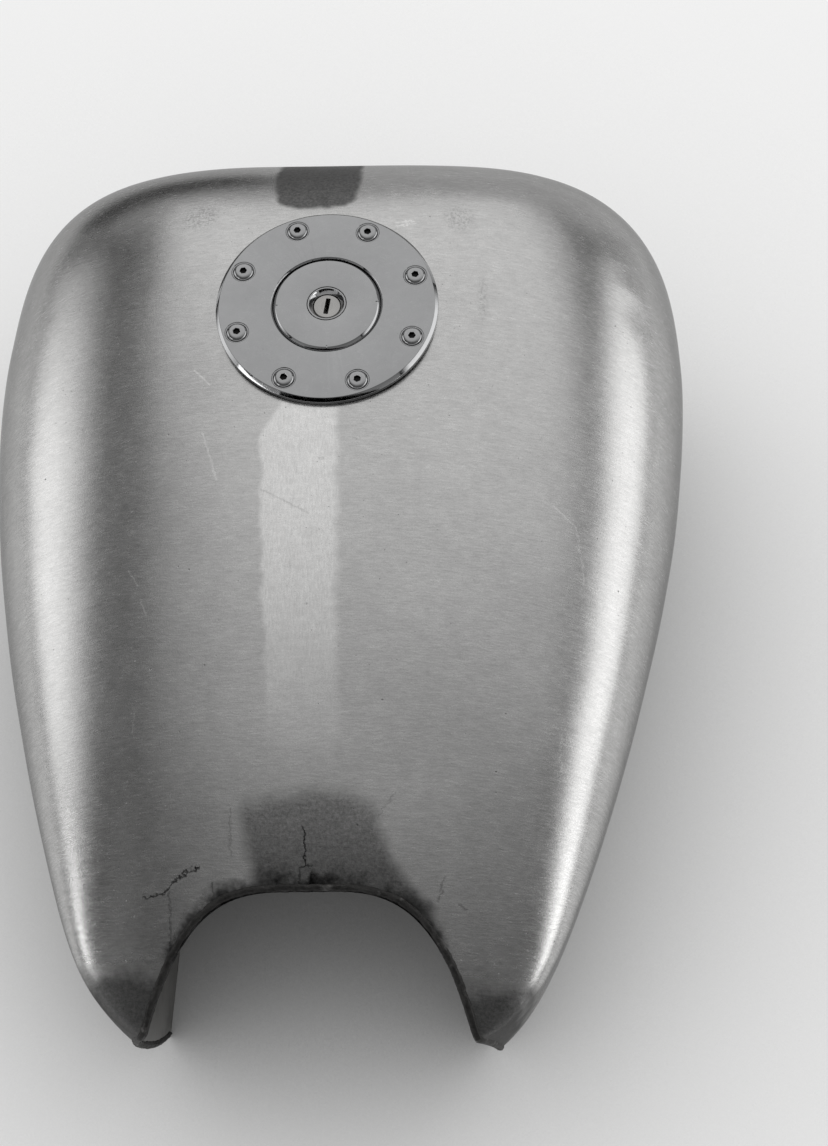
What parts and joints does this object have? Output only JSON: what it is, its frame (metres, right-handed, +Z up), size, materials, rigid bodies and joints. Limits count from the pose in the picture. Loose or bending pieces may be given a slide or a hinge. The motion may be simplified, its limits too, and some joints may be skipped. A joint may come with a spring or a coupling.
{
  "type": "motorcycle fuel tank",
  "caption": "Raw steel one-piece motorcycle fuel tank over a frame tunnel, with a bolted bezel and a flush locking lift-out filler cap.",
  "frame": {"origin": "under the middle of the tank, on the surface its rim stands on", "axes": "+X to the rider's right, +Y forward towards the steering head, +Z up"},
  "size_m": [0.3612, 0.4667, 0.2184],
  "materials": {
    "raw_steel": "sanded bare sheet, with fine cross grain",
    "weld": "ground and heat darkened",
    "turned_steel": "machined",
    "polished": "polished",
    "lock_steel": "plated",
    "brass": "drawn",
    "rubber": "moulded"
  },
  "bodies": {
    "tank": {"left_shell": "raw_steel", "right_shell": "raw_steel", "front_seam_weld": "weld", "rear_seam_weld": "weld", "front_arch_weld": "weld", "rear_arch_weld": "weld", "tunnel": "raw_steel", "left_floor": "raw_steel", "right_floor": "raw_steel", "front_mount_boss_left": "turned_steel", "front_mount_boss_right": "turned_steel", "rear_mount_tab": "raw_steel", "rear_mount_bush": "rubber", "rear_mount_sleeve": "turned_steel", "outlet_bung": "turned_steel", "crossover_fitting_left": "brass", "crossover_fitting_right": "brass", "filler_neck": "turned_steel", "bezel_gasket": "rubber", "bezel_ring": "polished", "bezel_screw_1": "polished", "bezel_screw_2": "polished", "bezel_screw_3": "polished", "bezel_screw_4": "polished", "bezel_screw_5": "polished", "bezel_screw_6": "polished", "bezel_screw_7": "polished", "bezel_screw_8": "polished"},
    "cap": {"cap_disc": "polished", "cap_body": "turned_steel", "cap_seal": "rubber", "bolt_cover": "turned_steel", "cover_screw_1": "turned_steel", "cover_screw_2": "turned_steel", "cover_screw_3": "turned_steel", "lock_housing": "polished"},
    "lock": {"lock_plug": "lock_steel", "lock_wafer_1": "brass", "lock_wafer_2": "brass", "lock_wafer_3": "brass", "lock_wafer_4": "brass", "lock_cam": "lock_steel"},
    "bolt_left": {"latch_bolt_left": "lock_steel"},
    "bolt_right": {"latch_bolt_right": "lock_steel"}
  },
  "joints": [
    {"name": "cap_lift", "type": "slide", "parent": "tank", "child": "cap", "axis": [0, -0.1908, 0.9816], "range_m": [0, 0.03]},
    {"name": "lock_turn", "type": "hinge", "parent": "cap", "child": "lock", "pos_m": [0, 0.07733, 0.205], "axis": [0, 0.1908, -0.9816], "range_deg": [0, 90]},
    {"name": "bolt_left_slide", "type": "slide", "parent": "cap", "child": "bolt_left", "axis": [-1, 0, 0], "range_m": [0, 0.004]},
    {"name": "bolt_right_slide", "type": "slide", "parent": "cap", "child": "bolt_right", "axis": [1, 0, 0], "range_m": [0, 0.004]}
  ],
  "couplings": [
    {"joint": "bolt_left_slide", "follows": "lock_turn", "m_per_rad": 0.0025465},
    {"joint": "bolt_right_slide", "follows": "lock_turn", "m_per_rad": 0.0025465}
  ]
}
